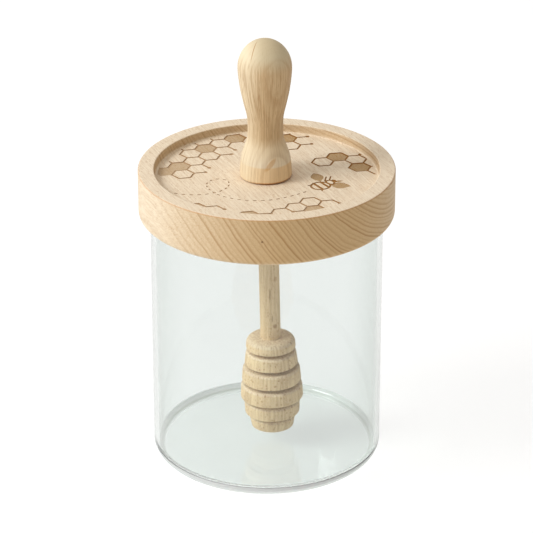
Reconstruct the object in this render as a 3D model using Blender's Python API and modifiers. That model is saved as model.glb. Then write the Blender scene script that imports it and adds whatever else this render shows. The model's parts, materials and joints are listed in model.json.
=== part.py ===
"""Honey jar with dipper.

A straight glass jar, a turned wooden lid with a dished top, a turned handle that stands on the lid, and a
honey dipper whose stem goes through the lid into the handle. The dipper hangs a little out of true and the
handle stands a little askew, as the real ones do. Metres, +Z up, with the origin in the middle of the base.
"""
import math

import bpy

GAP = 0.0003  # Left between pieces that touch

# Jar: a piece of glass tube with a flat floor
JAR_RADIUS = 0.045
JAR_HEIGHT = 0.101
JAR_WALL = 0.002
JAR_FLOOR = 0.003
JAR_HEEL_RADIUS = 0.0044
JAR_INNER_HEEL_RADIUS = 0.0025

# Lid: an 18.7 mm thick round board, dished on top, with a short step below that centres it in the jar
LID_RADIUS = 0.0494
LID_THICKNESS = 0.0187
LID_RIM_WIDTH = 0.0062
LID_DISH_DEPTH = 0.0034
LID_COVE_RADIUS = 0.001
LID_TOP_EDGE_RADIUS = 0.0005
LID_BOTTOM_EDGE_RADIUS = 0.002
LID_STEP_RADIUS = 0.0424
LID_STEP_DEPTH = 0.0024
LID_STEP_CHAMFER = 0.0005
LID_HOLE_RADIUS = 0.0049

# Dipper: one turned piece whose heights are measured along its own axis, from the floor of the lid's dish
DIPPER_LEAN = math.radians(1.26)
STEM_RADIUS = 0.004
STEM_CHAMFER = 0.0006
STEM_TOP = 0.0117
HEAD_TOP = -0.0689
HEAD_SHOULDER_RADIUS = 0.0024
# From the top down: thickness, upper radius, lower radius
DISCS = (
    (0.00420, 0.00970, 0.00980),
    (0.00540, 0.01005, 0.01050),
    (0.00575, 0.01140, 0.01170),
    (0.00575, 0.01215, 0.01235),
    (0.00535, 0.01100, 0.01080),
    (0.00450, 0.00890, 0.00840),
)
DISC_UPPER_EDGE_RADIUS = 0.0008
DISC_LOWER_EDGE_RADIUS = 0.0004
GROOVE_WIDTH = 0.00155
GROOVE_FLOOR_RADIUS = 0.006

# Handle: a knob with a domed end, a waist and a foot, its heights measured from the floor of the dish
HANDLE_LEAN = math.radians(0.5)
HANDLE_SHIFT = -0.00035
HANDLE_FOOT_RADIUS = 0.01
HANDLE_FOOT_EDGE_RADIUS = 0.0004
HANDLE_DOME_RADIUS = 0.01032
HANDLE_DOME_BASE = 0.0445
HANDLE_DOME_RISE = 0.0111
# Stations (height, radius) down its side; the outer two only steer the curve's ends
HANDLE_OUTLINE = (
    (0.0485, 0.01005),
    (HANDLE_DOME_BASE, HANDLE_DOME_RADIUS),
    (0.0405, 0.01005),
    (0.0350, 0.00927),
    (0.0300, 0.00820),
    (0.0250, 0.00705),
    (0.0205, 0.00680),
    (0.0155, 0.00705),
    (0.0118, 0.00830),
    (0.0082, 0.00940),
    (0.0036, 0.00990),
    (0.0000, HANDLE_FOOT_RADIUS),
    (-0.004, HANDLE_FOOT_RADIUS),
)
HANDLE_SIDE_STEPS = 18
SOCKET_RADIUS = STEM_RADIUS + 0.0007
SOCKET_DEPTH = STEM_TOP + GAP

# Fineness of the turned solids
WIDE_SEGMENTS = 64
NARROW_SEGMENTS = 32
MERGE_DISTANCE = 0.00001

# Heights that follow
LID_BOTTOM = JAR_HEIGHT + GAP
LID_TOP = LID_BOTTOM + LID_THICKNESS
DISH_FLOOR = LID_TOP - LID_DISH_DEPTH
HANDLE_LIFT = GAP + HANDLE_FOOT_RADIUS * math.sin(HANDLE_LEAN)


def clear_scene():
    """Empties the scene before the model is built."""
    for thing in list(bpy.data.objects):
        bpy.data.objects.remove(thing, do_unlink=True)


def linear(hex_colour):
    """Linear RGBA of an sRGB colour written as RRGGBB."""
    channels = [int(hex_colour[i:i + 2], 16) / 255 for i in (0, 2, 4)]
    return [c / 12.92 if c <= 0.04045 else ((c + 0.055) / 1.055) ** 2.4 for c in channels] + [1.0]


def principled(name, hex_colour, roughness, transmission=0.0, ior=1.5):
    """A plain Principled material; none of the pieces is metal."""
    material = bpy.data.materials.new(name)
    material.use_nodes = True
    shader = material.node_tree.nodes["Principled BSDF"]
    shader.inputs["Base Color"].default_value = linear(hex_colour)
    shader.inputs["Roughness"].default_value = roughness
    shader.inputs["Metallic"].default_value = 0.0
    shader.inputs["Transmission Weight"].default_value = transmission
    shader.inputs["IOR"].default_value = ior
    return material


def arc(radius, height, size, start, end, steps):
    """Points (radius, height) of an arc about a centre in the profile plane, from start to end in degrees."""
    angles = [math.radians(start + (end - start) * i / steps) for i in range(steps + 1)]
    return [(radius + size * math.cos(a), height + size * math.sin(a)) for a in angles]


def outline_radius(stations, height):
    """Radius at a height on the smooth curve through the stations, which run downwards."""
    pairs = range(1, len(stations) - 2)
    i = next((k for k in pairs if height >= stations[k + 1][0]), pairs[-1])
    before, upper, lower, after = stations[i - 1:i + 3]
    span = lower[0] - upper[0]
    upper_slope = (lower[1] - before[1]) / (lower[0] - before[0])
    lower_slope = (after[1] - upper[1]) / (after[0] - upper[0])
    t = (height - upper[0]) / span
    return ((2 * t ** 3 - 3 * t ** 2 + 1) * upper[1] + (t ** 3 - 2 * t ** 2 + t) * span * upper_slope
            + (3 * t ** 2 - 2 * t ** 3) * lower[1] + (t ** 3 - t ** 2) * span * lower_slope)


def turned(name, profile, segments, material, collection, closed=False):
    """A solid of revolution about Z; a closed profile stands clear of the axis, an open one ends on it."""
    edges = [(i, i + 1) for i in range(len(profile) - 1)]
    if closed:
        edges.append((len(profile) - 1, 0))
    mesh = bpy.data.meshes.new(name)
    mesh.from_pydata([(radius, 0.0, height) for radius, height in profile], edges, [])
    mesh.materials.append(material)
    piece = bpy.data.objects.new(name, mesh)
    collection.objects.link(piece)
    screw = piece.modifiers.new("Turning", "SCREW")
    screw.steps = segments
    screw.render_steps = segments
    screw.use_smooth_shade = True
    screw.use_merge_vertices = True
    screw.merge_threshold = MERGE_DISTANCE
    return piece


def jar(collection):
    """Open glass jar: up the inside, over the fire-polished rim and down the outside."""
    inner_radius = JAR_RADIUS - JAR_WALL
    rim_radius = JAR_WALL / 2
    profile = [(0.0, JAR_FLOOR)]
    profile += arc(inner_radius - JAR_INNER_HEEL_RADIUS, JAR_FLOOR + JAR_INNER_HEEL_RADIUS,
                   JAR_INNER_HEEL_RADIUS, -90, 0, 4)
    profile += arc(inner_radius + rim_radius, JAR_HEIGHT - rim_radius, rim_radius, 180, 0, 4)
    profile += arc(JAR_RADIUS - JAR_HEEL_RADIUS, JAR_HEEL_RADIUS, JAR_HEEL_RADIUS, 0, -90, 5)
    profile.append((0.0, 0.0))
    glass = principled("Clear glass", "E4EBE8", 0.03, transmission=1.0, ior=1.47)
    return turned("jar", profile, WIDE_SEGMENTS, glass, collection)


def lid(collection):
    """Round board with a dished top, a centring step below and a hole for the dipper's stem."""
    dish_radius = LID_RADIUS - LID_RIM_WIDTH
    step_bottom = LID_BOTTOM - LID_STEP_DEPTH
    profile = [(LID_HOLE_RADIUS, DISH_FLOOR)]
    profile += arc(dish_radius - LID_COVE_RADIUS, DISH_FLOOR + LID_COVE_RADIUS, LID_COVE_RADIUS, -90, 0, 3)
    profile += arc(dish_radius + LID_TOP_EDGE_RADIUS, LID_TOP - LID_TOP_EDGE_RADIUS,
                   LID_TOP_EDGE_RADIUS, 180, 90, 2)
    profile += arc(LID_RADIUS - LID_TOP_EDGE_RADIUS, LID_TOP - LID_TOP_EDGE_RADIUS,
                   LID_TOP_EDGE_RADIUS, 90, 0, 2)
    profile += arc(LID_RADIUS - LID_BOTTOM_EDGE_RADIUS, LID_BOTTOM + LID_BOTTOM_EDGE_RADIUS,
                   LID_BOTTOM_EDGE_RADIUS, 0, -90, 3)
    profile += [
        (LID_STEP_RADIUS, LID_BOTTOM),
        (LID_STEP_RADIUS, step_bottom + LID_STEP_CHAMFER),
        (LID_STEP_RADIUS - LID_STEP_CHAMFER, step_bottom),
        (LID_HOLE_RADIUS, step_bottom),
    ]
    wood = principled("Beech board", "E2CBA2", 0.6)
    return turned("lid", profile, WIDE_SEGMENTS, wood, collection, closed=True)


def handle(collection):
    """Knob that stands on the lid; the stem's socket is bored into it from below."""
    edge_height = HANDLE_LIFT + HANDLE_FOOT_EDGE_RADIUS
    step = (HANDLE_DOME_BASE - edge_height) / HANDLE_SIDE_STEPS
    side = [HANDLE_DOME_BASE - step * i for i in range(1, HANDLE_SIDE_STEPS)]
    dome = arc(0.0, 0.0, 1.0, 90, 0, 8)
    profile = [(HANDLE_DOME_RADIUS * x, HANDLE_DOME_BASE + HANDLE_DOME_RISE * y) for x, y in dome]
    profile[0] = (0.0, HANDLE_DOME_BASE + HANDLE_DOME_RISE)
    profile += [(outline_radius(HANDLE_OUTLINE, height), height) for height in side]
    profile += arc(HANDLE_FOOT_RADIUS - HANDLE_FOOT_EDGE_RADIUS, edge_height, HANDLE_FOOT_EDGE_RADIUS, 0, -90, 2)
    profile += [(SOCKET_RADIUS, HANDLE_LIFT), (SOCKET_RADIUS, SOCKET_DEPTH), (0.0, SOCKET_DEPTH)]
    wood = principled("Beech handle", "DCC39A", 0.55)
    piece = turned("handle", profile, NARROW_SEGMENTS, wood, collection)
    piece.location = (HANDLE_SHIFT, 0.0, DISH_FLOOR)
    piece.rotation_euler = (0.0, -HANDLE_LEAN, 0.0)
    return piece


def dipper(collection):
    """Stem and grooved head in one turned piece; the stem's end stays hidden in the handle's socket."""
    profile = [
        (0.0, STEM_TOP),
        (STEM_RADIUS - STEM_CHAMFER, STEM_TOP),
        (STEM_RADIUS, STEM_TOP - STEM_CHAMFER),
        (STEM_RADIUS, HEAD_TOP),
    ]
    top = HEAD_TOP
    upper_edge = HEAD_SHOULDER_RADIUS
    for thickness, upper_radius, lower_radius in DISCS:
        bottom = top - thickness
        profile += arc(upper_radius - upper_edge, top - upper_edge, upper_edge, 90, 0, 3)
        profile += arc(lower_radius - DISC_LOWER_EDGE_RADIUS, bottom + DISC_LOWER_EDGE_RADIUS,
                       DISC_LOWER_EDGE_RADIUS, 0, -90, 2)
        top = bottom - GROOVE_WIDTH
        upper_edge = DISC_UPPER_EDGE_RADIUS
        profile += [(GROOVE_FLOOR_RADIUS, bottom), (GROOVE_FLOOR_RADIUS, top)]
    # The last disc has no groove below it: its flat underside closes the piece
    profile = profile[:-2] + [(0.0, bottom)]
    wood = principled("Beech dipper", "E0C9A3", 0.6)
    piece = turned("dipper", profile, NARROW_SEGMENTS, wood, collection)
    piece.location = (0.0, 0.0, DISH_FLOOR)
    piece.rotation_euler = (0.0, -DIPPER_LEAN, 0.0)
    return piece


def main():
    clear_scene()
    collection = bpy.data.collections.new("honey_jar_with_dipper")
    bpy.context.scene.collection.children.link(collection)
    jar(collection)
    lid(collection)
    handle(collection)
    dipper(collection)


main()
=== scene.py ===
"""Looks of the honey jar with dipper: drawn glass, turned beech and a laser-scorched lid.

Every piece is turned again in finer steps round the profile of its solid; only the upper edges of the
dipper's discs are rounder. Metres, +Z up, with the origin in the middle of the jar's base; the viewer of the
photo looks along +Y from above.
"""
import json
import math

import bmesh
import bpy
from mathutils import Matrix, Vector

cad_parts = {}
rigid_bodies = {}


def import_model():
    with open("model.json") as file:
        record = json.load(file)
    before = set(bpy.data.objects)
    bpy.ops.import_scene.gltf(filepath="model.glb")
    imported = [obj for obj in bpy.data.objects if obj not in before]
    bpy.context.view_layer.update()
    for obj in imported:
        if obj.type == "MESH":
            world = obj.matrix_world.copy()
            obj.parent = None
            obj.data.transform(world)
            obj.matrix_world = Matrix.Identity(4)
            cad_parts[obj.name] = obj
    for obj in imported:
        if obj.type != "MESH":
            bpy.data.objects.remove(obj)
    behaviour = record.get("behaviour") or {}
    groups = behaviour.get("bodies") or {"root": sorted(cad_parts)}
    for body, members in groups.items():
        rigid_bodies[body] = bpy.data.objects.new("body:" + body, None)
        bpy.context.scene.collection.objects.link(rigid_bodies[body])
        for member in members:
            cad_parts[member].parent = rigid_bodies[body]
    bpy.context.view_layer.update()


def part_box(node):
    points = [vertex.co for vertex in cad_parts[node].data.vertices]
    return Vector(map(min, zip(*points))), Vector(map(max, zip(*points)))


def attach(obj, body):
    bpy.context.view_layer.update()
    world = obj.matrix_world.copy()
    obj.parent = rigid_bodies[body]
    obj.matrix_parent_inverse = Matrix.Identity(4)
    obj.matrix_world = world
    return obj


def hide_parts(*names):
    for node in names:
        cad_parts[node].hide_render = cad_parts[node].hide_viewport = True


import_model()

MM = 0.001

# Camera, fitted to the outlines of jar and lid; the image is square
IMAGE_PIXELS = 533
SENSOR_MM = 36.0
FOCAL_PIXELS = 2903.0
CAMERA_PLACE = Vector((-0.0001, -1.020, 0.5645))
CAMERA_PITCH = math.radians(25.51)
CAMERA_CLIP = (0.1, 20.0)

# Jar
JAR_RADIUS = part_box("jar")[1].x
JAR_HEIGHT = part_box("jar")[1].z
JAR_WALL = 0.002
JAR_FLOOR = 0.003
JAR_HEEL_RADIUS = 0.0044
JAR_INNER_HEEL_RADIUS = 0.0025

# Glass: its colour face on and along the wall, the painted shade of a thin line in the cove round the
# inner floor, and the colour of its shadow
GLASS_IOR = 1.47
GLASS_FACE_ON = "F1F4F3"
GLASS_ALONG = "D0D8D3"
GLASS_ALONG_FROM = 0.3  # Where the second colour begins, from 0 face on to 1 along the wall
GLASS_COVE_PAINTED_SHADE = "CDD3CC"
GLASS_SHADOW = "EEF1EF"
PAINTED_COVE_LINE_MM = ((3.05, 3.15), (3.7, 3.3))  # Heights where the cove's painted shade line begins and is full, at its two sides
# The heel is drawn milky up to one height and clear from another, a painted stand-in for its inner
# reflections. Its outer side lies outside a cone that has this radius at the bottom, widens by a share of the
# height and has a soft edge.
HEEL_MILKY_REFLECTIONS_MM = 3.9
HEEL_CLEAR_MM = 5.0
HEEL_CONE_MM = 40.8
HEEL_CONE_SLOPE = 0.5
HEEL_CONE_EDGE_MM = 1.2
HEEL_CLARITY = 0.3

# Lid
LID_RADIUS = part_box("lid")[1].x
LID_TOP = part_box("lid")[1].z
LID_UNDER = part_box("lid")[0].z
LID_THICKNESS = 0.0187
LID_BOTTOM = LID_TOP - LID_THICKNESS
LID_RIM_WIDTH = 0.0062
LID_DISH_DEPTH = 0.0034
LID_COVE_RADIUS = 0.001
LID_TOP_EDGE_RADIUS = 0.0005
LID_BOTTOM_EDGE_RADIUS = 0.002
LID_STEP_RADIUS = 0.0424
LID_STEP_CHAMFER = 0.0005
LID_HOLE_RADIUS = 0.0049
DISH_FLOOR = LID_TOP - LID_DISH_DEPTH

# Dipper, its heights along its own axis from the floor of the dish
DIPPER_LEAN = math.radians(1.26)
STEM_RADIUS = 0.004
STEM_CHAMFER = 0.0006
STEM_TOP = 0.0117
HEAD_TOP = -0.0689
HEAD_SHOULDER_RADIUS = 0.0024
# From the top down: thickness, upper radius, lower radius
DISCS = (
    (0.00420, 0.00970, 0.00980),
    (0.00540, 0.01005, 0.01050),
    (0.00575, 0.01140, 0.01170),
    (0.00575, 0.01215, 0.01235),
    (0.00535, 0.01100, 0.01080),
    (0.00450, 0.00890, 0.00840),
)
DISC_UPPER_EDGE_RADIUS = 0.0013
DISC_LOWER_EDGE_RADIUS = 0.0004
GROOVE_WIDTH = 0.00155
GROOVE_FLOOR_RADIUS = 0.006

# Handle, its heights along its own axis from the floor of the dish
HANDLE_LEAN = math.radians(0.5)
HANDLE_SHIFT = -0.00035
HANDLE_FOOT_RADIUS = 0.01
HANDLE_FOOT_EDGE_RADIUS = 0.0004
HANDLE_DOME_RADIUS = 0.01032
HANDLE_DOME_BASE = 0.0445
HANDLE_DOME_RISE = 0.0111
# Stations (height, radius) down its side; the outer two only steer the curve's ends
HANDLE_OUTLINE = (
    (0.0485, 0.01005),
    (HANDLE_DOME_BASE, HANDLE_DOME_RADIUS),
    (0.0405, 0.01005),
    (0.0350, 0.00927),
    (0.0300, 0.00820),
    (0.0250, 0.00705),
    (0.0205, 0.00680),
    (0.0155, 0.00705),
    (0.0118, 0.00830),
    (0.0082, 0.00940),
    (0.0036, 0.00990),
    (0.0000, HANDLE_FOOT_RADIUS),
    (-0.004, HANDLE_FOOT_RADIUS),
)
HANDLE_LIFT = 0.0003 + HANDLE_FOOT_RADIUS * math.sin(HANDLE_LEAN)
SOCKET_RADIUS = STEM_RADIUS + 0.0007
SOCKET_DEPTH = STEM_TOP + 0.0003

# Fineness of the turned pieces
WIDE_SEGMENTS = 192
NARROW_SEGMENTS = 96
HANDLE_SIDE_STEPS = 60
HOLDING_DISTANCE = 0.0003  # How far an extra ring stands from the end of a straight run, to keep it flat
MERGE_DISTANCE = 0.00001

# Engraving, in millimetres on the floor of the dish
ENGRAVED_REACH_MM = 42.0  # The laser stops just short of the dish's wall
LINE_WIDTH_MM = 0.75
LINE_DEPTH_MM = 0.22
FILL_DEPTH_MM = 0.12
DOT_RADIUS_MM = 0.78
CUTTER_RISE_MM = 0.12  # How far the cutters stand out above the floor
TRIM_STEP_MM = 1.0
# Faces at the floor's height are kept flat from this far outside the hole to this far past the laser's reach
HOLE_MARGIN_MM = 1.0
REACH_MARGIN_MM = 0.5
DEPTH_SLACK_MM = 0.01
FLAT_FACE = 0.9  # The least upward part of the normal of a face that counts as flat
# The cell across each side of a cell; sides run anticlockwise from the one that faces along the row
NEIGHBOURS = ((1, 0), (0, 1), (-1, 1), (-1, 0), (0, -1), (1, -1))
# Patches of honeycomb: the middle of cell (0, 0), the pitch, the turn of its rows, cells with all their
# sides, filled cells, unfinished cells with the sides they have, spurs that run on outward from a corner for
# a length, and dots at a distance outward from a corner. A corner has the number of the side that it ends.
COMBS = (
    {"middle": (-18.2, 31.0), "pitch": 7.6, "turn": -18.3,
     "outlined": ((0, 0), (0, 1), (0, -1), (0, -2), (1, -2), (1, -3), (2, -5)),
     "filled": ((0, 1), (0, -1), (1, -4), (1, -5)),
     "unfinished": ((1, -1, (1, 2, 3, 4, 5)), (2, -4, (1, 2, 3, 4, 5)), (1, -4, (0, 1, 2, 3, 5)),
                    (-1, 1, (4,)), (-1, 0, (4,)), (-1, -1, (4,))),
     "spurs": ((0, 1, 1, 2.2), (0, 1, 5, 0.9), (1, -4, 2, 1.6)),
     "dots": ((1, -1, 0, 0.0), (1, -1, 5, 0.0), (2, -4, 0, 0.0), (2, -4, 5, 0.0))},
    {"middle": (7.6, 36.1), "pitch": 7.5, "turn": -18.5,
     "outlined": ((0, 0), (1, -1)),
     "filled": ((0, 0),),
     "unfinished": ((1, 0, (2, 3, 4, 5)),),
     "spurs": ((0, 0, 1, 1.6),),
     "dots": ((0, 0, 1, 1.6), (1, 0, 1, 0.0), (1, 0, 5, 0.0))},
    {"middle": (21.7, 12.8), "pitch": 7.55, "turn": -19.6,
     "outlined": ((0, 0), (0, 1), (1, 1), (2, 0)),
     "filled": ((0, 1), (2, 0)),
     "unfinished": (),
     "spurs": ((1, 1, 1, 1.0), (2, 0, 0, 0.6), (2, 0, 5, 4.3)),
     "dots": ((1, 1, 1, 1.0),)},
    {"middle": (11.1, -29.9), "pitch": 7.3, "turn": -17.9,
     "outlined": ((0, 0), (0, 1), (1, 0)),
     "filled": ((1, 0), (-1, -2)),
     "unfinished": ((1, 1, (1, 2)), (0, -1, (2, 3)), (-1, -2, (1, 2))),
     "spurs": (),
     "dots": ((0, 0, 4, 0.0), (1, 1, 0, 0.0), (0, -1, 3, 0.0))},
    {"middle": (-19.9, -32.6), "pitch": 7.3, "turn": -17.9,
     "outlined": (),
     "filled": ((-1, 0),),
     "unfinished": ((0, 0, (1, 2)), (-1, 0, (1, 2))),
     "spurs": (),
     "dots": ((0, 0, 0, 0.0),)},
)
# At the near rim a line joins a filled cell to the patch beside it
JOINING_LINE = ((-2.7, -35.85), (1.8, -35.45))
# The bee's dashed flight path, from the bee round its loop to the rim
FLIGHT_PATH = (
    (14.8, -15.6), (9.6, -19.4), (4.1, -22.3), (-1.8, -23.8), (-7.8, -23.5), (-13.7, -21.5), (-18.6, -18.1),
    (-22.0, -13.0), (-22.9, -8.4), (-20.9, -4.7), (-18.0, -3.6), (-15.2, -5.2), (-14.3, -9.0), (-16.2, -13.5),
    (-20.4, -17.0), (-26.9, -18.5), (-33.2, -17.6), (-37.4, -15.6),
)
DASH_PITCH_MM = 3.0
DASH_LENGTH_MM = 1.0
DASH_WIDTH_MM = 0.5
BEE_MIDDLE = (21.6, -9.2)
BEE_TURN = 33.0  # The way its head points, in degrees from the right
# In millimetres ahead of its middle and to its left: stripes (ahead, half length), abdomen and thorax (ahead,
# aside, length, width, steps), head (ahead, aside, length, width), legs and feelers (start, end), and wings
# (root ahead, root aside, turn, length, width, fullness)
BEE_STRIPE_WIDTH = 1.1
BEE_STRIPES = ((-2.5, 3.2), (0.5, 2.9))
BEE_RING_WIDTH = 0.8
BEE_RINGS = ((-1.4, -0.2, 7.6, 6.8, 24), (3.5, 0.6, 2.8, 4.0, 16))
BEE_HEAD = (5.5, 0.8, 1.7, 2.9)
BEE_LIMB_WIDTH = 0.6
BEE_LIMBS = (((-3.7, 2.4), (-5.4, 2.5)), ((2.4, 2.6), (5.1, 5.7)), ((4.2, 2.2), (6.7, 5.0)),
             ((5.4, 0.4), (3.8, -1.3)), ((-2.7, -3.1), (-3.6, -4.4)))
BEE_WINGS = ((0.9, 3.2, 75, 8.2, 5.0, 1.1), (2.4, -1.6, -42, 7.6, 5.6, 0.85), (5.0, 0.2, -18, 3.6, 1.5, 1.0))

# Beech grain; a pair says where something begins and where it is full
END_GRAIN = (0.15, 0.95)  # How squarely the fibres meet the surface
WALL_PAINTED_EVEN_GRAIN = 0.5
WALL_EDGE_MM = 0.5
RING_WAVE_MM = 3.0
RING_WAVE_SCALE = (0.012, 0.05, 0.05)
RING_MM = 1.6
RING_UNEVEN_MM = 4.0  # How far good and bad decades shift the rings
RING_DECADE_MM = 9.0
LATE_WOOD = (0.35, 0.9)  # Parts of a year's ring
YEAR_LEAST = 0.25
STREAK_EDGE = (0.38, 0.68)
FLECK_EDGE = (0.36, 0.16)
FLECK_PATCH_SCALE = 0.35
FLECK_PATCH_EDGE = (0.35, 0.65)
FLECK_LEAST = 0.3
LEVEL_FROM = 0.8  # The upward part of the normal from which a turned piece's grain isn't drawn round its axis
CORNER_EDGE_MM = 0.3
CORNER_SHARE = 0.5
MARK_EDGE = (1.0, 0.6)  # Parts of a mark's half size
ROUGHNESS = (0.55, 0.8)
SPECULAR = 0.3
GRAIN_RELIEF_MM = 0.03
RELIEF_STRENGTH = 0.5
# Looks of wood. The colour goes by bands of height, or by whether a face shows the fibres' sides or ends or
# looks up; a face that looks up is painted lighter, painted light from above. ring colours late wood, dark
# colours streaks and flecks; ring_up, ring_side, ring_end, streak, streak_up and fleck say how strongly they
# show, and streak_mm and fleck_mm how long and wide they are.
# The board the lid was cut from: its fibres run to the front and right, the tree's heart was well above it
BOARD_TURN = math.radians(-66)
BOARD = {
    "turn": (0.0, 0.0, -BOARD_TURN), "fibre": (math.cos(BOARD_TURN), math.sin(BOARD_TURN), 0.0),
    "heart_mm": (0.0, 50.0, 155.0), "up_from": 0.5, "up_to": 0.9, "bands": (),
    "up": "F3E4CB", "side": "E4D5BB", "end": "CBAD80", "ring": "936529", "dark": "B08450",
    "ring_up": 0.10, "ring_side": 0.20, "ring_end": 0.75,
    "streak_mm": (7.0, 0.4), "streak": 0.30, "streak_up": 0.30,
    "fleck_mm": (2.4, 0.6), "fleck": 0.45, "turned_mm": None, "lively_mm": (), "pale": None,
    # The dish's wall is painted one even brown all round, its shaded end grain lighter and its lit side
    # darker
    # than their own colour: painted light and shade; the cutter has browned the outer edge's upper corner
    "wall_mm": 43.6, "corner_mm": (49.0, 119.4), "corner": "BE8447",
    "marks": ({"middle": (-1.7, -49.3, 111.3), "turn": (0.0, 0.0, 0.0), "half": (0.5, 0.5, 0.5),
               "colour": "6B4A2A", "share": 0.8},),
}
# The square the knob was turned from: its fibres stand upright. Its bands paint the upward-facing dome and
# flare paler: painted light from above
SQUARE = {
    "turn": (0.0, math.pi / 2, 0.0), "fibre": (0.0, 0.0, 1.0),
    "heart_mm": (0.0, 60.0, 35.0), "up_from": 0.25, "up_to": 0.6,
    # The lowest stops darken the foot's bottom edge, where it meets the lid: painted shade
    "bands": ((116.6, "C2874A"), (117.3, "C2874A"), (117.7, "F2D8AF"), (123.2, "EED3A9"), (123.7, "F0E3CA"),
              (127.0, "E9D8B8"), (134.5, "D3B88F"), (161.5, "CFB38A"), (167.5, "D2C2A0"), (172.2, "D3C29F")),
    "ring": "A98050", "dark": "936A3A",
    "ring_up": 0.05, "ring_side": 0.30, "ring_end": 0.2,
    "streak_mm": (14.0, 0.4), "streak": 0.55, "streak_up": 0.08,
    "fleck_mm": (4.0, 0.4), "fleck": 0.50,
    # Its fine grain is faint on the flare and the dome, and grows and fades between these heights
    "lively_mm": ((130.5, 136.0), (166.0, 160.5)), "calm": 0.35,
    # Its left side, towards the key lamp, is painted paler: painted light
    "turned_mm": 9.0, "pale": {"from_mm": -1.5, "to_mm": -7.5, "share": 0.75, "colour": "EBDCBC"},
    "wall_mm": None,
    # A knot that leans over the foot, and a fine crack down the dome
    "marks": ({"middle": (1.5, -9.2, 124.8), "turn": (0.0, math.radians(-49), 0.0), "half": (3.9, 3.0, 1.2),
               "colour": "C48E44", "share": 0.5},
              {"middle": (-4.6, -3.8, 168.5), "turn": (0.0, 0.0, math.radians(-19)), "half": (0.22, 5.6, 5.6),
               "colour": "A8743C", "share": 0.75}),
}
# The dipper's dowel, a little paler than the knob, with speckled ends
DOWEL = dict(
    SQUARE, heart_mm=(0.0, -45.0, 50.0), bands=(), side="EBD2A8", up="EEDCBE", end="E2CCA4", dark="A87440",
    streak_mm=(9.0, 0.6), streak=0.30, streak_up=0.45, fleck_mm=(1.6, 0.95), fleck=0.70, turned_mm=8.0,
    lively_mm=(), pale=None,
    marks=({"middle": (3.3, -3.3, 74.2), "turn": (0.0, 0.0, 0.0), "half": (0.9, 1.2, 1.3),
            "colour": "A87440", "share": 0.45},
           {"middle": (1.2, -4.0, 67.8), "turn": (0.0, 0.0, 0.0), "half": (0.4, 1.0, 3.2),
            "colour": "8E6238", "share": 0.55},
           {"middle": (2.2, -3.9, 57.3), "turn": (0.0, 0.0, 0.0), "half": (0.35, 1.0, 1.8),
            "colour": "8E6238", "share": 0.5},
           {"middle": (3.3, -3.5, 53.8), "turn": (0.0, 0.0, 0.0), "half": (1.0, 1.2, 1.1),
            "colour": "9A6A3C", "share": 0.6}))
SCORCHED_LINE = {"colour": "9C6E34", "dot_pitch_mm": None}
SCORCHED_FILL = {"colour": "A27936", "dot_pitch_mm": 0.55}
# In dot pitches from a dot's middle, where its burn begins to fade and is faintest, and the share left there
RASTER_FADE = (0.25, 0.65)
RASTER_BETWEEN = 0.65
RASTER_RANDOMNESS = 0.25
# The laser burned the wood harder at the right and back: where that begins and is full, and its share before
SCORCH_WAY = (1.0, 0.5)
SCORCH_FAINT_MM = 0.0
SCORCH_FULL_MM = 16.0
SCORCH_FAINT_SHARE = 0.7

# Stage and light
TABLE_REACH = 6.0
TABLE_DROP = 0.00005  # Keeps the table's face just clear of the jar's base
TABLE_PAINT = "A5A5A5"
TABLE_GLOW = 0.72
ROOM_BRIGHT_WAY = (-1.0, 0.3, 0.2)
ROOM_STRENGTH = (0.32, 0.88)  # On the room's dark side and on its bright side
ROOM_HUES = ("FFF3E4", "FEFEFF")  # The dark side is warmer too
KEY_PLACE = Vector((-0.84, -0.26, 0.80))
KEY_TARGET = Vector((0.0, 0.0, 0.08))
KEY_SIZE = 0.45
KEY_POWER = 7.0


def linear(hex_colour):
    """Linear RGBA of an sRGB colour written as RRGGBB."""
    channels = [int(hex_colour[i:i + 2], 16) / 255 for i in (0, 2, 4)]
    return [c / 12.92 if c <= 0.04045 else ((c + 0.055) / 1.055) ** 2.4 for c in channels] + [1.0]


# Shapes

def arc(radius, height, size, start, end, steps):
    """Points (radius, height) of an arc about a centre in the profile plane, from start to end in degrees."""
    angles = [math.radians(start + (end - start) * i / steps) for i in range(steps + 1)]
    return [(radius + size * math.cos(a), height + size * math.sin(a)) for a in angles]


def outline_radius(stations, height):
    """Radius at a height on the smooth curve through the stations, which run downwards."""
    pairs = range(1, len(stations) - 2)
    i = next((k for k in pairs if height >= stations[k + 1][0]), pairs[-1])
    before, upper, lower, after = stations[i - 1:i + 3]
    span = lower[0] - upper[0]
    upper_slope = (lower[1] - before[1]) / (lower[0] - before[0])
    lower_slope = (after[1] - upper[1]) / (after[0] - upper[0])
    t = (height - upper[0]) / span
    return ((2 * t ** 3 - 3 * t ** 2 + 1) * upper[1] + (t ** 3 - 2 * t ** 2 + t) * span * upper_slope
            + (3 * t ** 2 - 2 * t ** 3) * lower[1] + (t ** 3 - t ** 2) * span * lower_slope)


def held(profile, closed=False):
    """The profile with an extra point near both ends of each long straight run, so that it shades flat."""
    pairs = list(zip(profile, profile[1:]))
    if closed:
        pairs.append((profile[-1], profile[0]))
    points = []
    for start, end in pairs:
        points.append(start)
        run = math.dist(start, end)
        if run > 4 * HOLDING_DISTANCE:
            for share in (HOLDING_DISTANCE / run, 1 - HOLDING_DISTANCE / run):
                points.append(tuple(a + (b - a) * share for a, b in zip(start, end)))
    return points if closed else points + [profile[-1]]


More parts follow.
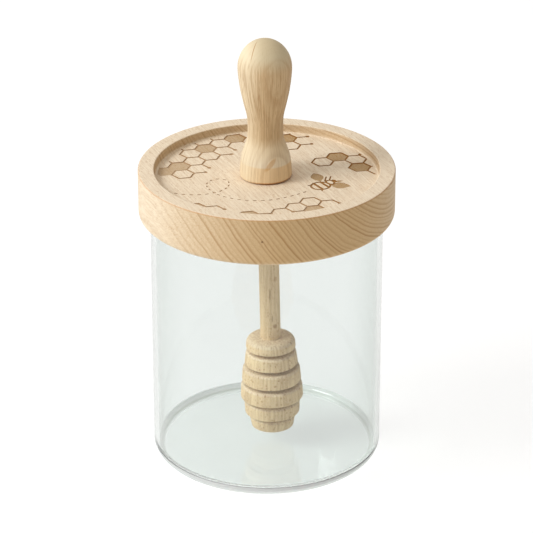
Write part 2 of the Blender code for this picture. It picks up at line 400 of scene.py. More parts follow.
def turned(name, profile, segments, closed=False):
    """A solid of revolution about Z; a closed profile stands clear of the axis, an open one ends on it."""
    points = held(profile, closed)
    edges = [(i, i + 1) for i in range(len(points) - 1)]
    if closed:
        edges.append((len(points) - 1, 0))
    mesh = bpy.data.meshes.new(name)
    mesh.from_pydata([(radius, 0.0, height) for radius, height in points], edges, [])
    piece = bpy.data.objects.new(name, mesh)
    bpy.context.scene.collection.objects.link(piece)
    screw = piece.modifiers.new("Turning", "SCREW")
    screw.steps = segments
    screw.render_steps = segments
    screw.use_smooth_shade = True
    screw.use_merge_vertices = True
    screw.merge_threshold = MERGE_DISTANCE
    return piece


def applied(piece):
    """Turns a piece with modifiers into a plain mesh."""
    graph = bpy.context.evaluated_depsgraph_get()
    mesh = bpy.data.meshes.new_from_object(piece.evaluated_get(graph))
    piece.modifiers.clear()
    piece.data = mesh
    mesh.name = piece.name
    return piece


def glass_jar():
    """Open glass jar: up the inside, over the fire-polished rim and down the outside."""
    inner_radius = JAR_RADIUS - JAR_WALL
    rim_radius = JAR_WALL / 2
    profile = [(0.0, JAR_FLOOR)]
    profile += arc(inner_radius - JAR_INNER_HEEL_RADIUS, JAR_FLOOR + JAR_INNER_HEEL_RADIUS,
                   JAR_INNER_HEEL_RADIUS, -90, 0, 12)
    profile += arc(inner_radius + rim_radius, JAR_HEIGHT - rim_radius, rim_radius, 180, 0, 12)
    profile += arc(JAR_RADIUS - JAR_HEEL_RADIUS, JAR_HEEL_RADIUS, JAR_HEEL_RADIUS, 0, -90, 16)
    profile.append((0.0, 0.0))
    return applied(turned("glass_jar", profile, WIDE_SEGMENTS))


def board_lid():
    """Round board with a dished top, a centring step below and a hole for the dipper's stem."""
    dish_radius = LID_RADIUS - LID_RIM_WIDTH
    profile = [(LID_HOLE_RADIUS, DISH_FLOOR)]
    profile += arc(dish_radius - LID_COVE_RADIUS, DISH_FLOOR + LID_COVE_RADIUS, LID_COVE_RADIUS, -90, 0, 8)
    profile += arc(dish_radius + LID_TOP_EDGE_RADIUS, LID_TOP - LID_TOP_EDGE_RADIUS,
                   LID_TOP_EDGE_RADIUS, 180, 90, 6)
    profile += arc(LID_RADIUS - LID_TOP_EDGE_RADIUS, LID_TOP - LID_TOP_EDGE_RADIUS,
                   LID_TOP_EDGE_RADIUS, 90, 0, 6)
    profile += arc(LID_RADIUS - LID_BOTTOM_EDGE_RADIUS, LID_BOTTOM + LID_BOTTOM_EDGE_RADIUS,
                   LID_BOTTOM_EDGE_RADIUS, 0, -90, 10)
    profile += [
        (LID_STEP_RADIUS, LID_BOTTOM),
        (LID_STEP_RADIUS, LID_UNDER + LID_STEP_CHAMFER),
        (LID_STEP_RADIUS - LID_STEP_CHAMFER, LID_UNDER),
        (LID_HOLE_RADIUS, LID_UNDER),
    ]
    return applied(turned("engraved_lid", profile, WIDE_SEGMENTS, closed=True))


# Engraving

def along(start, angle, distance):
    """The point at a distance from start in the direction of an angle in degrees."""
    turn = math.radians(angle)
    return (start[0] + distance * math.cos(turn), start[1] + distance * math.sin(turn))


def strip(start, end, width, steps=4):
    """Outline of a line with round ends."""
    angle = math.degrees(math.atan2(end[1] - start[1], end[0] - start[0]))
    turn = 180 / steps
    return ([along(end, angle - 90 + turn * i, width / 2) for i in range(steps + 1)]
            + [along(start, angle + 90 + turn * i, width / 2) for i in range(steps + 1)])


def ellipse(middle, length, width, angle=0.0, steps=16):
    """Outline of an ellipse whose length lies along an angle in degrees."""
    points = []
    for i in range(steps):
        t = 2 * math.pi * i / steps
        ahead = along(middle, angle, length / 2 * math.cos(t))
        points.append(along(ahead, angle + 90, width / 2 * math.sin(t)))
    return points


def wing(root, angle, length, width, fullness, steps=12):
    """Outline of a wing from its root; at fullness 1 it is widest halfway, below 1 nearer the root."""
    points = []
    for side in (1, -1):
        for i in range(steps):
            share = i / steps if side == 1 else 1 - i / steps
            half = width / 2 * math.sin(math.pi * share ** fullness)
            points.append(along(along(root, angle, length * share), angle - 90 * side, half))
    return points


def comb_corner(comb, q, r, corner, further=0.0):
    """A corner of the comb's cell (q, r), or a point further outward from it."""
    first = along(comb["middle"], comb["turn"], q * comb["pitch"])
    middle = along(first, comb["turn"] + 60, r * comb["pitch"])
    return along(middle, comb["turn"] + 30 + 60 * corner, comb["pitch"] / math.sqrt(3) + further)


def comb_outlines(comb):
    """Outlines of a honeycomb patch's lines, each side once, and of its filled cells."""
    sides = {}
    for q, r, numbers in [(q, r, range(6)) for q, r in comb["outlined"]] + list(comb["unfinished"]):
        for number in numbers:
            across = NEIGHBOURS[number]
            # Two cells share a side, so it goes by the one that has it as side 0, 1 or 2
            key = (q, r, number) if number < 3 else (q + across[0], r + across[1], number - 3)
            ends = [comb_corner(comb, q, r, corner) for corner in (number - 1, number)]
            sides[key] = strip(*ends, LINE_WIDTH_MM)
    lines = list(sides.values())
    lines += [strip(comb_corner(comb, q, r, corner), comb_corner(comb, q, r, corner, length), LINE_WIDTH_MM)
              for q, r, corner, length in comb["spurs"]]
    lines += [ellipse(comb_corner(comb, q, r, corner, distance), 2 * DOT_RADIUS_MM, 2 * DOT_RADIUS_MM)
              for q, r, corner, distance in comb["dots"]]
    filled = [[comb_corner(comb, q, r, corner) for corner in range(6)] for q, r in comb["filled"]]
    return lines, filled


def smooth_path(stations, steps=12):
    """Points along a smooth curve through the stations."""
    ends = [stations[0]] + list(stations) + [stations[-1]]
    points = []
    for before, start, end, after in zip(ends, ends[1:], ends[2:], ends[3:]):
        for i in range(steps):
            t = i / steps
            points.append(tuple(
                0.5 * (2 * b + (c - a) * t + (2 * a - 5 * b + 4 * c - d) * t ** 2
                       + (3 * b - a - 3 * c + d) * t ** 3)
                for a, b, c, d in zip(before, start, end, after)))
    return points + [stations[-1]]


def dashes():
    """Outlines of the dashes along the flight path."""
    points = smooth_path(FLIGHT_PATH)
    outlines = []
    travelled = 0.0
    start = None
    for a, b in zip(points, points[1:]):
        length = math.dist(a, b)
        for mark, offset in (("start", 0.0), ("end", DASH_LENGTH_MM)):
            reached = math.floor((travelled + length - offset) / DASH_PITCH_MM)
            passed = reached * DASH_PITCH_MM + offset - travelled
            if 0 <= passed < length:
                place = tuple(p + (q - p) * passed / length for p, q in zip(a, b))
                if mark == "start":
                    start = place
                elif start:
                    outlines.append(strip(start, place, DASH_WIDTH_MM))
        travelled += length
    return outlines


def bee():
    """A plain flying bee: striped abdomen, thorax, head, feelers and legs as lines, and filled wings."""
    def place(ahead, aside):
        return along(along(BEE_MIDDLE, BEE_TURN, ahead), BEE_TURN + 90, aside)

    lines = [strip(place(ahead, half), place(ahead, -half), BEE_STRIPE_WIDTH) for ahead, half in BEE_STRIPES]
    for ahead, aside, length, width, steps in BEE_RINGS:
        outline = ellipse(place(ahead, aside), length, width, BEE_TURN, steps)
        lines += [strip(a, b, BEE_RING_WIDTH, steps=2) for a, b in zip(outline, outline[1:] + outline[:1])]
    lines.append(ellipse(place(*BEE_HEAD[:2]), *BEE_HEAD[2:], BEE_TURN))
    lines += [strip(place(*start), place(*end), BEE_LIMB_WIDTH, steps=2) for start, end in BEE_LIMBS]
    wings = [wing(place(ahead, aside), BEE_TURN + turn, *size) for ahead, aside, turn, *size in BEE_WINGS]
    return lines, wings


def trimmed(outline):
    """The outline in finer steps, kept inside the reach of the laser; nothing if it lies wholly outside."""
    points = []
    for a, b in zip(outline, outline[1:] + outline[:1]):
        beyond = max(math.hypot(*a), math.hypot(*b)) > ENGRAVED_REACH_MM
        steps = max(1, math.ceil(math.dist(a, b) / TRIM_STEP_MM)) if beyond else 1
        points += [tuple(p + (q - p) * i / steps for p, q in zip(a, b)) for i in range(steps)]
    if all(math.hypot(*p) > ENGRAVED_REACH_MM for p in points):
        return []
    return [tuple(c * min(1.0, ENGRAVED_REACH_MM / math.hypot(*p)) for c in p) for p in points]


def engraved(lid):
    """Cuts the honeycomb, the flight path and the bee into the floor of the lid's dish."""
    cutters = bpy.data.collections.new("engraving_cutters")
    bpy.context.scene.collection.children.link(cutters)
    lines, fills = bee()
    lines += dashes()
    lines.append(strip(*JOINING_LINE, LINE_WIDTH_MM))
    for comb in COMBS:
        comb_lines, comb_fills = comb_outlines(comb)
        lines += comb_lines
        fills += comb_fills
    top = DISH_FLOOR + CUTTER_RISE_MM * MM
    for outlines, depth in ((lines, LINE_DEPTH_MM), (fills, FILL_DEPTH_MM)):
        for outline in outlines:
            points = trimmed(outline)
            if not points:
                continue
            cut = bmesh.new()
            ring = [cut.verts.new((x * MM, y * MM, DISH_FLOOR - depth * MM)) for x, y in points]
            face = cut.faces.new(ring)
            lifted = bmesh.ops.extrude_face_region(cut, geom=[face])["geom"]
            bmesh.ops.translate(cut, verts=[v for v in lifted if isinstance(v, bmesh.types.BMVert)],
                                vec=(0, 0, top - DISH_FLOOR + depth * MM))
            bmesh.ops.recalc_face_normals(cut, faces=cut.faces)
            mesh = bpy.data.meshes.new("engraving_cutter")
            cut.to_mesh(mesh)
            cut.free()
            cutters.objects.link(bpy.data.objects.new("engraving_cutter", mesh))
    carve = lid.modifiers.new("Engraving", "BOOLEAN")
    carve.operation = "DIFFERENCE"
    carve.operand_type = "COLLECTION"
    carve.collection = cutters
    carve.solver = "MANIFOLD"
    applied(lid)
    for cutter in list(cutters.objects):
        bpy.data.objects.remove(cutter, do_unlink=True)
    bpy.data.collections.remove(cutters)
    return lid


def finish_engraving(lid, line_index, fill_index):
    """Gives cut faces their scorched finish by depth, and keeps the flat faces of the dish flat."""
    for face in lid.data.polygons:
        depth = (DISH_FLOOR - face.center.z) / MM
        radius = math.hypot(face.center.x, face.center.y) / MM
        in_dish = LID_HOLE_RADIUS / MM + HOLE_MARGIN_MM < radius < ENGRAVED_REACH_MM + REACH_MARGIN_MM
        if in_dish and -DEPTH_SLACK_MM < depth < LINE_DEPTH_MM + DEPTH_SLACK_MM:
            face.use_smooth = False
            if depth > DEPTH_SLACK_MM:
                is_fill = face.normal.z > FLAT_FACE and depth < (LINE_DEPTH_MM + FILL_DEPTH_MM) / 2
                face.material_index = fill_index if is_fill else line_index


def knob_handle():
    """Knob that stands on the lid; the stem's socket is bored into it from below."""
    edge_height = HANDLE_LIFT + HANDLE_FOOT_EDGE_RADIUS
    step = (HANDLE_DOME_BASE - edge_height) / HANDLE_SIDE_STEPS
    side = [HANDLE_DOME_BASE - step * i for i in range(1, HANDLE_SIDE_STEPS)]
    dome = arc(0.0, 0.0, 1.0, 90, 0, 24)
    profile = [(HANDLE_DOME_RADIUS * x, HANDLE_DOME_BASE + HANDLE_DOME_RISE * y) for x, y in dome]
    # The dome's top lies exactly on the axis
    profile[0] = (0.0, HANDLE_DOME_BASE + HANDLE_DOME_RISE)
    profile += [(outline_radius(HANDLE_OUTLINE, height), height) for height in side]
    profile += arc(HANDLE_FOOT_RADIUS - HANDLE_FOOT_EDGE_RADIUS, edge_height,
                   HANDLE_FOOT_EDGE_RADIUS, 0, -90, 5)
    profile += [(SOCKET_RADIUS, HANDLE_LIFT), (SOCKET_RADIUS, SOCKET_DEPTH), (0.0, SOCKET_DEPTH)]
    piece = applied(turned("turned_handle", profile, NARROW_SEGMENTS))
    lean = Matrix.Rotation(-HANDLE_LEAN, 4, "Y")
    piece.data.transform(Matrix.Translation((HANDLE_SHIFT, 0.0, DISH_FLOOR)) @ lean)
    return piece


def honey_dipper():
    """Stem and grooved head in one turned piece; the stem's end stays hidden in the handle's socket."""
    profile = [
        (0.0, STEM_TOP),
        (STEM_RADIUS - STEM_CHAMFER, STEM_TOP),
        (STEM_RADIUS, STEM_TOP - STEM_CHAMFER),
        (STEM_RADIUS, HEAD_TOP),
    ]
    top = HEAD_TOP
    upper_edge = HEAD_SHOULDER_RADIUS
    for thickness, upper_radius, lower_radius in DISCS:
        bottom = top - thickness
        profile += arc(upper_radius - upper_edge, top - upper_edge, upper_edge, 90, 0, 8)
        profile += arc(lower_radius - DISC_LOWER_EDGE_RADIUS, bottom + DISC_LOWER_EDGE_RADIUS,
                       DISC_LOWER_EDGE_RADIUS, 0, -90, 5)
        top = bottom - GROOVE_WIDTH
        upper_edge = DISC_UPPER_EDGE_RADIUS
        profile += [(GROOVE_FLOOR_RADIUS, bottom), (GROOVE_FLOOR_RADIUS, top)]
    # The last disc has no groove below it: its flat underside closes the piece
    profile = profile[:-2] + [(0.0, bottom)]
    piece = applied(turned("honey_dipper", profile, NARROW_SEGMENTS))
    lean = Matrix.Rotation(-DIPPER_LEAN, 4, "Y")
    piece.data.transform(Matrix.Translation((0.0, 0.0, DISH_FLOOR)) @ lean)
    return piece


# Materials

def add(tree, kind, inputs=None, **settings):
    """Adds a node: settings are its properties; inputs go by name or number and take a value or a link."""
    node = tree.nodes.new(kind)
    for name, value in settings.items():
        setattr(node, name, value)
    for key, value in (inputs or {}).items():
        if isinstance(value, bpy.types.NodeSocket):
            tree.links.new(value, node.inputs[key])
        else:
            node.inputs[key].default_value = value
    return node


def new_material(name):
    """An empty node material and its output node."""
    material = bpy.data.materials.new(name)
    material.use_nodes = True
    tree = material.node_tree
    tree.nodes.clear()
    return material, tree, add(tree, "ShaderNodeOutputMaterial")


def surface_place(tree):
    """Sockets for a shaded point's place on its piece, and for its height and radius in millimetres."""
    place = add(tree, "ShaderNodeTexCoord").outputs["Object"]
    height = add(tree, "ShaderNodeVectorMath", {0: place, 1: (0.0, 0.0, 1 / MM)}, operation="DOT_PRODUCT")
    flat = add(tree, "ShaderNodeVectorMath", {0: place, 1: (1 / MM, 1 / MM, 0.0)}, operation="MULTIPLY")
    radius = add(tree, "ShaderNodeVectorMath", {0: flat.outputs[0]}, operation="LENGTH")
    return place, height.outputs["Value"], radius.outputs["Value"]


def borosilicate_glass():
    """Drawn borosilicate tube: water-clear and smooth, a little grey-green when seen along the wall."""
    material, tree, output = new_material("Drawn borosilicate glass")
    _, height, radius = surface_place(tree)
    facing = add(tree, "ShaderNodeLayerWeight", {"Blend": 0.5}).outputs["Facing"]
    facing = add(tree, "ShaderNodeMapRange", {
        "Value": facing, "From Min": GLASS_ALONG_FROM, "From Max": 1.0},
        interpolation_type="SMOOTHSTEP").outputs[0]
    tint = add(tree, "ShaderNodeMix", {
        0: facing, 6: linear(GLASS_FACE_ON), 7: linear(GLASS_ALONG)}, data_type="RGBA").outputs[2]

    # The thick heel gathers so many inner reflections that it looks milky grey-green, not clear; drawing it
    # part diffuse here is a painted stand-in for those reflections
    low = add(tree, "ShaderNodeMapRange", {
        "Value": height, "From Min": HEEL_MILKY_REFLECTIONS_MM, "From Max": HEEL_CLEAR_MM, "To Min": 1.0, "To Max": 0.0},
        interpolation_type="SMOOTHSTEP").outputs[0]
    cone = add(tree, "ShaderNodeMath", {0: height, 1: -HEEL_CONE_SLOPE, 2: radius}, operation="MULTIPLY_ADD")
    outer = add(tree, "ShaderNodeMapRange", {
        "Value": cone.outputs[0], "From Min": HEEL_CONE_MM, "From Max": HEEL_CONE_MM + HEEL_CONE_EDGE_MM})
    heel = add(tree, "ShaderNodeMath", {0: low, 1: outer.outputs[0]}, operation="MULTIPLY").outputs[0]
    clear = add(tree, "ShaderNodeMapRange", {"Value": heel, "To Min": 1.0, "To Max": HEEL_CLARITY}).outputs[0]

    # A thin grey line of painted shade in the cove round the inner floor, standing in for the dark line its
    # tight corner refracts
    painted_cove_line = add(tree, "ShaderNodeMapRange", {
        "Value": outer.outputs[0], "To Min": 1.0, "To Max": 0.0}).outputs[0]
    for begins, full in PAINTED_COVE_LINE_MM:
        side = add(tree, "ShaderNodeMapRange", {
            "Value": height, "From Min": begins, "From Max": full}).outputs[0]
        painted_cove_line = add(tree, "ShaderNodeMath", {0: painted_cove_line, 1: side}, operation="MULTIPLY").outputs[0]
    tint = add(tree, "ShaderNodeMix", {0: painted_cove_line, 6: tint, 7: linear(GLASS_COVE_PAINTED_SHADE)}, data_type="RGBA").outputs[2]

    glass = add(tree, "ShaderNodeBsdfPrincipled", {
        "Base Color": tint, "Roughness": 0.0, "IOR": GLASS_IOR, "Transmission Weight": clear})
    shade = add(tree, "ShaderNodeBsdfTransparent", {"Color": linear(GLASS_SHADOW)})
    path = add(tree, "ShaderNodeLightPath")
    both = add(tree, "ShaderNodeMixShader", {
        0: path.outputs["Is Shadow Ray"], 1: glass.outputs[0], 2: shade.outputs[0]})
    tree.links.new(both.outputs[0], output.inputs["Surface"])
    return material


def late_wood(tree, grain, heart_mm):
    """How much a point is late wood: each year's ring darkens slowly outward and stops short.

    The rings lie round the tree's heart. They are a little wavy, decades are uneven and years differ.
    """
    heart = add(tree, "ShaderNodeVectorMath", {0: grain, 1: heart_mm}, operation="SUBTRACT").outputs[0]
    heart = add(tree, "ShaderNodeVectorMath", {0: heart, 1: (0.0, 1.0, 1.0)}, operation="MULTIPLY").outputs[0]
    heart = add(tree, "ShaderNodeVectorMath", {0: heart}, operation="LENGTH").outputs["Value"]
    wave = add(tree, "ShaderNodeMapping", {"Vector": grain, "Scale": RING_WAVE_SCALE}).outputs[0]
    wave = add(tree, "ShaderNodeTexNoise", {"Vector": wave, "Scale": 1.0, "Detail": 2.0}).outputs[0]
    wavy = add(tree, "ShaderNodeMath", {
        0: wave, 1: RING_WAVE_MM, 2: heart}, operation="MULTIPLY_ADD").outputs[0]
    decade = add(tree, "ShaderNodeTexNoise", {
        "W": wavy, "Scale": 1 / RING_DECADE_MM}, noise_dimensions="1D").outputs[0]
    ring = add(tree, "ShaderNodeMath", {0: decade, 1: RING_UNEVEN_MM, 2: wavy}, operation="MULTIPLY_ADD")
    ring = add(tree, "ShaderNodeMath", {0: ring.outputs[0], 1: 1 / RING_MM}, operation="MULTIPLY").outputs[0]
    number = add(tree, "ShaderNodeMath", {0: ring}, operation="FLOOR").outputs[0]
    year = add(tree, "ShaderNodeTexWhiteNoise", {"W": number}, noise_dimensions="1D").outputs["Value"]
    year = add(tree, "ShaderNodeMapRange", {"Value": year, "To Min": YEAR_LEAST, "To Max": 1.0}).outputs[0]
    part = add(tree, "ShaderNodeMath", {0: ring}, operation="FRACT").outputs[0]
    late = add(tree, "ShaderNodeMapRange", {
        "Value": part, "From Min": LATE_WOOD[0], "From Max": LATE_WOOD[1]},
        interpolation_type="SMOOTHSTEP").outputs[0]
    ending = add(tree, "ShaderNodeMapRange", {
        "Value": part, "From Min": LATE_WOOD[1], "From Max": 1.0, "To Min": 1.0, "To Max": 0.0}).outputs[0]
    late = add(tree, "ShaderNodeMath", {0: late, 1: ending}, operation="MULTIPLY").outputs[0]
    return add(tree, "ShaderNodeMath", {0: late, 1: year}, operation="MULTIPLY").outputs[0]


def sanded_beech(name, look, scorch=None):
    """Beech, sanded and left bare: matt and pale, with growth rings, fine streaks and short brown ray flecks.

    It is solid wood in three dimensions, so rings run on from the top over the edge. In the grain's own
    coordinates, in millimetres, X runs along the fibres. A scorch burns the wood, in a raster of dots if it
    has a dot pitch.
    """
    material, tree, output = new_material(name)
    place, height, radius = surface_place(tree)
    grain = add(tree, "ShaderNodeMapping", {
        "Vector": place, "Rotation": look["turn"], "Scale": (1 / MM, 1 / MM, 1 / MM)}).outputs[0]
    normal = add(tree, "ShaderNodeNewGeometry").outputs["Normal"]

    # How far a surface shows the fibres' ends, and how far it faces up
    ends = add(tree, "ShaderNodeVectorMath", {0: normal, 1: look["fibre"]}, operation="DOT_PRODUCT")
    ends = add(tree, "ShaderNodeMath", {0: ends.outputs["Value"]}, operation="ABSOLUTE").outputs[0]
    ends = add(tree, "ShaderNodeMapRange", {
        "Value": ends, "From Min": END_GRAIN[0], "From Max": END_GRAIN[1]}).outputs[0]
    # The dish's wall takes one even share of end grain all round, which evens out its lit and shaded sides:
    # painted light and shade
    if look["wall_mm"]:
        outer = add(tree, "ShaderNodeMapRange", {
            "Value": radius, "From Min": look["wall_mm"], "From Max": look["wall_mm"] + WALL_EDGE_MM})
        ends = add(tree, "ShaderNodeMix", {0: outer.outputs[0], 2: WALL_PAINTED_EVEN_GRAIN, 3: ends}).outputs[0]
    lift = add(tree, "ShaderNodeVectorMath", {0: normal, 1: (0.0, 0.0, 1.0)}, operation="DOT_PRODUCT")
    upward = add(tree, "ShaderNodeMapRange", {
        "Value": lift.outputs["Value"], "From Min": look["up_from"], "From Max": look["up_to"]},
        interpolation_type="SMOOTHSTEP").outputs[0]

    # Bands of colour by height; on the knob they paint the upward-facing dome and flare paler, painted light,
    # and the foot's bottom edge darker, painted shade
    if look["bands"]:
        low, high = look["bands"][0][0], look["bands"][-1][0]
        share = add(tree, "ShaderNodeMapRange", {
            "Value": height, "From Min": low, "From Max": high}).outputs[0]
        bands = add(tree, "ShaderNodeValToRGB", {"Fac": share})
        stops = bands.color_ramp.elements
        while len(stops) < len(look["bands"]):
            stops.new(0.5)
        for stop, (level_mm, shade) in zip(stops, look["bands"]):
            stop.position = (level_mm - low) / (high - low)
            stop.color = linear(shade)
        colour = bands.outputs["Color"]
    else:
        colour = add(tree, "ShaderNodeMix", {
            0: ends, 6: linear(look["side"]), 7: linear(look["end"])}, data_type="RGBA").outputs[2]
        # A face that looks up takes the lighter up colour: painted light from above
        colour = add(tree, "ShaderNodeMix", {
            0: upward, 6: colour, 7: linear(look["up"])}, data_type="RGBA").outputs[2]

    # What lies over that colour, from the bottom up: how much of it shows, and its own colour
    layers = []
    # A side painted paler where the key lamp falls on it: painted light
    if look["pale"]:
        pale = look["pale"]
        sideways = add(tree, "ShaderNodeVectorMath", {
            0: place, 1: (1 / MM, 0.0, 0.0)}, operation="DOT_PRODUCT")
        share = add(tree, "ShaderNodeMapRange", {
            "Value": sideways.outputs["Value"], "From Min": pale["from_mm"], "From Max": pale["to_mm"],
            "To Max": pale["share"]}).outputs[0]
        layers.append((share, pale["colour"]))

    # Growth rings show strongly on the fibres' ends and faintly elsewhere
    shown = add(tree, "ShaderNodeMapRange", {
        "Value": ends, "To Min": look["ring_side"], "To Max": look["ring_end"]}).outputs[0]
    shown = add(tree, "ShaderNodeMix", {0: upward, 2: shown, 3: look["ring_up"]}).outputs[0]
    late = late_wood(tree, grain, look["heart_mm"])
    share = add(tree, "ShaderNodeMath", {0: late, 1: shown}, operation="MULTIPLY").outputs[0]
    layers.append((share, look["ring"]))

    # Fine grain; on a turned piece it runs straight down the side, whatever the outline
    fine = grain
    if look["turned_mm"]:
        around = add(tree, "ShaderNodeVectorMath", {0: place, 1: (1.0, 1.0, 0.0)}, operation="MULTIPLY")
        around = add(tree, "ShaderNodeVectorMath", {0: around.outputs[0]}, operation="NORMALIZE").outputs[0]
        around = add(tree, "ShaderNodeVectorMath", {0: around, "Scale": look["turned_mm"]}, operation="SCALE")
        around = add(tree, "ShaderNodeSeparateXYZ", {0: around.outputs[0]})
        around = add(tree, "ShaderNodeCombineXYZ", {0: height, 1: around.outputs[0], 2: around.outputs[1]})
        level = add(tree, "ShaderNodeMath", {
            0: lift.outputs["Value"], 1: LEVEL_FROM}, operation="GREATER_THAN").outputs[0]
        fine = add(tree, "ShaderNodeMix", {
            0: level, 4: around.outputs[0], 5: grain}, data_type="VECTOR").outputs[1]
    lively = 1.0
    for faint_mm, full_mm in look["lively_mm"]:
        side = add(tree, "ShaderNodeMapRange", {
            "Value": height, "From Min": faint_mm, "From Max": full_mm, "To Min": look["calm"]}).outputs[0]
        lively = add(tree, "ShaderNodeMath", {0: lively, 1: side}, operation="MULTIPLY").outputs[0]

    # Streaks along the fibres; vessels are finer than a pixel, so they are drawn a little coarser
    length, width = look["streak_mm"]
    streak = add(tree, "ShaderNodeMapping", {
        "Vector": fine, "Scale": (1 / length, 1 / width, 1 / width)}).outputs[0]
    streak = add(tree, "ShaderNodeTexNoise", {"Vector": streak, "Scale": 1.0, "Detail": 3.0}).outputs[0]
    share = add(tree, "ShaderNodeMapRange", {
        "Value": upward, "To Min": look["streak"], "To Max": look["streak_up"]}).outputs[0]
    share = add(tree, "ShaderNodeMath", {0: share, 1: lively}, operation="MULTIPLY").outputs[0]
    share = add(tree, "ShaderNodeMapRange", {
        "Value": streak, "From Min": STREAK_EDGE[0], "From Max": STREAK_EDGE[1], "To Max": share}).outputs[0]
    layers.append((share, look["dark"]))

    # Ray flecks, which lie in patches
    length, width = look["fleck_mm"]
    fleck = add(tree, "ShaderNodeMapping", {
        "Vector": fine, "Scale": (1 / length, 1 / width, 1 / width)}).outputs[0]
    share = add(tree, "ShaderNodeTexNoise", {"Vector": fleck, "Scale": FLECK_PATCH_SCALE}).outputs[0]
    share = add(tree, "ShaderNodeMapRange", {
        "Value": share, "From Min": FLECK_PATCH_EDGE[0], "From Max": FLECK_PATCH_EDGE[1],
        "To Min": look["fleck"] * FLECK_LEAST, "To Max": look["fleck"]}).outputs[0]
    share = add(tree, "ShaderNodeMath", {0: share, 1: lively}, operation="MULTIPLY").outputs[0]
    fleck = add(tree, "ShaderNodeTexVoronoi", {"Vector": fleck, "Scale": 1.0}).outputs["Distance"]
    share = add(tree, "ShaderNodeMapRange", {
        "Value": fleck, "From Min": FLECK_EDGE[0], "From Max": FLECK_EDGE[1], "To Max": share}).outputs[0]
    layers.append((share, look["dark"]))

    # The outer edge's browned upper corner
    if look["wall_mm"]:
        share = CORNER_SHARE
        for where, from_mm in zip((radius, height), look["corner_mm"]):
            side = add(tree, "ShaderNodeMapRange", {
                "Value": where, "From Min": from_mm, "From Max": from_mm + CORNER_EDGE_MM}).outputs[0]
            share = add(tree, "ShaderNodeMath", {0: share, 1: side}, operation="MULTIPLY").outputs[0]
        layers.append((share, look["corner"]))

    # Knots, cracks and specks, each inside an ellipsoid
    for mark in look["marks"]:
        near = add(tree, "ShaderNodeMapping", {
            "Vector": place, "Location": [c * MM for c in mark["middle"]], "Rotation": mark["turn"],
            "Scale": [c * MM for c in mark["half"]]}, vector_type="TEXTURE").outputs[0]
        near = add(tree, "ShaderNodeVectorMath", {0: near}, operation="LENGTH").outputs["Value"]
        share = add(tree, "ShaderNodeMapRange", {
            "Value": near, "From Min": MARK_EDGE[0], "From Max": MARK_EDGE[1],
            "To Max": mark["share"]}).outputs[0]
        layers.append((share, mark["colour"]))

    if scorch:
        across = add(tree, "ShaderNodeVectorMath", {
            0: place, 1: (SCORCH_WAY[0] / MM, SCORCH_WAY[1] / MM, 0.0)}, operation="DOT_PRODUCT")
        share = add(tree, "ShaderNodeMapRange", {
            "Value": across.outputs["Value"], "From Min": SCORCH_FAINT_MM, "From Max": SCORCH_FULL_MM,
            "To Min": SCORCH_FAINT_SHARE}).outputs[0]
        if scorch["dot_pitch_mm"]:
            dots = add(tree, "ShaderNodeTexVoronoi", {
                "Vector": grain, "Scale": 1 / scorch["dot_pitch_mm"], "Randomness": RASTER_RANDOMNESS})
            dots = add(tree, "ShaderNodeMapRange", {
                "Value": dots.outputs["Distance"], "From Min": RASTER_FADE[0], "From Max": RASTER_FADE[1],
                "To Min": 1.0, "To Max": RASTER_BETWEEN}).outputs[0]
            share = add(tree, "ShaderNodeMath", {0: share, 1: dots}, operation="MULTIPLY").outputs[0]
        layers.append((share, scorch["colour"]))

    for share, shade in layers:
        colour = add(tree, "ShaderNodeMix", {
            0: share, 6: colour, 7: linear(shade)}, data_type="RGBA").outputs[2]
    gloss = add(tree, "ShaderNodeMapRange", {"Value": streak, "To Min": ROUGHNESS[0], "To Max": ROUGHNESS[1]})
    relief = add(tree, "ShaderNodeBump", {
        "Strength": RELIEF_STRENGTH, "Distance": GRAIN_RELIEF_MM * MM, "Height": streak})
    wood = add(tree, "ShaderNodeBsdfPrincipled", {
        "Base Color": colour, "Roughness": gloss.outputs[0], "Normal": relief.outputs[0],
        "Specular IOR Level": SPECULAR})
    tree.links.new(wood.outputs[0], output.inputs["Surface"])
    return material


def stage_white():
    """Matt white table that glows a little, so that shadows on it stay faint."""
    material, tree, output = new_material("Matt white table")
    paint = add(tree, "ShaderNodeBsdfPrincipled", {
        "Base Color": linear(TABLE_PAINT), "Roughness": 1.0, "Specular IOR Level": 0.0,
        "Emission Color": linear("FFFFFF"), "Emission Strength": TABLE_GLOW})
    tree.links.new(paint.outputs[0], output.inputs["Surface"])
    return material


# Stage

def table():
    """A wide square table top just under the jar."""
    mesh = bpy.data.meshes.new("stage_table")
    corners = [(x * TABLE_REACH, y * TABLE_REACH, 0) for x, y in ((-1, -1), (1, -1), (1, 1), (-1, 1))]
    mesh.from_pydata(corners, [], [(0, 1, 2, 3)])
    top = bpy.data.objects.new("stage_table", mesh)
    top.location.z = -TABLE_DROP
    bpy.context.scene.collection.objects.link(top)
    mesh.materials.append(stage_white())


def key_light():
    """A large soft square lamp from the left, the front and above."""
    data = bpy.data.lights.new("key_light", "AREA")
    data.shape = "SQUARE"
    data.size = KEY_SIZE
    data.energy = KEY_POWER
    lamp = bpy.data.objects.new("key_light", data)
    lamp.location = KEY_PLACE
    lamp.rotation_euler = (KEY_TARGET - KEY_PLACE).to_track_quat("-Z", "Y").to_euler()
    bpy.context.scene.collection.objects.link(lamp)


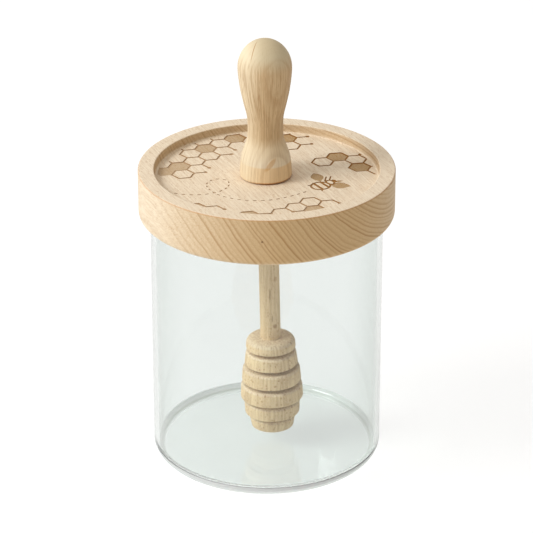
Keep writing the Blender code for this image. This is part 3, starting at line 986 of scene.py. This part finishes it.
def room_light():
    """Light from all round, brighter on the left."""
    world = bpy.data.worlds.new("Studio")
    world.use_nodes = True
    tree = world.node_tree
    tree.nodes.clear()
    direction = add(tree, "ShaderNodeTexCoord").outputs["Generated"]
    side = add(tree, "ShaderNodeVectorMath", {0: direction, 1: ROOM_BRIGHT_WAY}, operation="DOT_PRODUCT")
    side = side.outputs["Value"]
    strength = add(tree, "ShaderNodeMapRange", {
        "Value": side, "From Min": -1.0, "From Max": 1.0, "To Min": ROOM_STRENGTH[0],
        "To Max": ROOM_STRENGTH[1]}, interpolation_type="SMOOTHSTEP")
    hue = add(tree, "ShaderNodeMapRange", {"Value": side, "From Min": -1.0, "From Max": 1.0}).outputs[0]
    hue = add(tree, "ShaderNodeMix", {
        0: hue, 6: linear(ROOM_HUES[0]), 7: linear(ROOM_HUES[1])}, data_type="RGBA")
    room = add(tree, "ShaderNodeBackground", {"Color": hue.outputs[2], "Strength": strength.outputs[0]})
    output = add(tree, "ShaderNodeOutputWorld")
    tree.links.new(room.outputs[0], output.inputs["Surface"])
    bpy.context.scene.world = world


def camera():
    """Camera at the photo's angle."""
    data = bpy.data.cameras.new("camera")
    data.sensor_width = SENSOR_MM
    data.lens = FOCAL_PIXELS * SENSOR_MM / IMAGE_PIXELS
    data.clip_start, data.clip_end = CAMERA_CLIP
    view = bpy.data.objects.new("camera", data)
    view.location = CAMERA_PLACE
    view.rotation_euler = (math.pi / 2 - CAMERA_PITCH, 0.0, 0.0)
    bpy.context.scene.collection.objects.link(view)
    bpy.context.scene.camera = view


def dress(piece, material, node):
    """Gives a piece its finish and lets it stand for its CAD node."""
    piece.data.materials.clear()
    piece.data.materials.append(material)
    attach(piece, "root")
    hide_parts(node)


def main():
    """Sets up camera, lights and table, then dresses the jar, the lid, the knob and the dipper."""
    scene = bpy.context.scene
    scene.view_settings.view_transform = "Standard"
    scene.cycles.use_denoising = True
    camera()
    room_light()
    key_light()
    table()
    dress(glass_jar(), borosilicate_glass(), "jar")
    lid = engraved(board_lid())
    dress(lid, sanded_beech("Sanded beech board", BOARD), "lid")
    lid.data.materials.append(sanded_beech("Laser-scorched beech line", BOARD, SCORCHED_LINE))
    lid.data.materials.append(sanded_beech("Laser-scorched beech raster", BOARD, SCORCHED_FILL))
    finish_engraving(lid, 1, 2)
    dress(knob_handle(), sanded_beech("Turned and sanded beech knob", SQUARE), "handle")
    dress(honey_dipper(), sanded_beech("Turned and sanded beech dowel", DOWEL), "dipper")


main()
